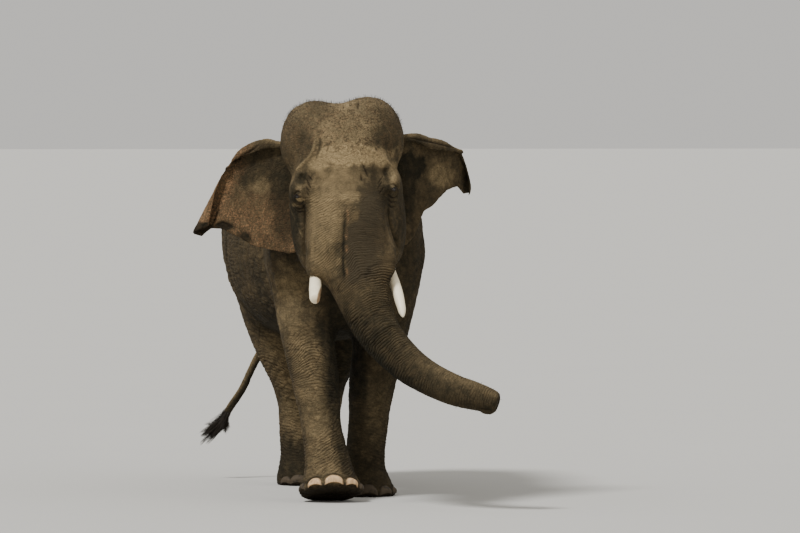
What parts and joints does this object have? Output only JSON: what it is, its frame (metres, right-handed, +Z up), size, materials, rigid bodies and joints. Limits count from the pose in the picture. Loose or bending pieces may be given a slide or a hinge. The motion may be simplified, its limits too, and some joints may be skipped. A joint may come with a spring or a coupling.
{
  "type": "asian elephant",
  "caption": "Life-size still model of an Asian elephant bull in mid-stride, with a domed head, spread ears, short tusks, a sideways-swung trunk and a thin tail with a hair tuft.",
  "frame": {"origin": "On the floor under the middle of the model's bounding box, at the level of the soles", "axes": "+Z up, -Y ahead, the way the animal walks, +X to the animal's own left"},
  "size_m": [1.981, 4.3162, 2.8236],
  "materials": {
    "hide": "deeply wrinkled dry brown-grey hide, dusty in places",
    "ear_hide": "thin wrinkled hide, dark above and freckled pink-brown below",
    "ivory": "smooth worn ivory, brownish where worn",
    "eye": "wet dark brown, glossy",
    "hair": "coarse stiff black bristles"
  },
  "bodies": {
    "root": {"barrel": "hide", "neck": "hide", "chest": "hide", "rump": "hide", "foreleg_right_upper": "hide", "foreleg_right_lower": "hide", "forefoot_right": "hide", "foreleg_left_upper": "hide", "foreleg_left_lower": "hide", "forefoot_left": "hide", "hindleg_right_upper": "hide", "hindleg_right_lower": "hide", "hindfoot_right": "hide", "hindleg_left_upper": "hide", "hindleg_left_lower": "hide", "hindfoot_left": "hide", "eye_right": "eye", "tusk_right": "ivory", "ear_right": "ear_hide", "eye_left": "eye", "tusk_left": "ivory", "ear_left": "ear_hide", "head": "hide", "lower_jaw": "hide", "trunk_1": "hide", "trunk_2": "hide", "trunk_3": "hide", "trunk_4": "hide", "trunk_5": "hide", "tail_1": "hide", "tail_2": "hide", "tail_3": "hide", "tail_tuft": "hair"}
  },
  "joints": []
}
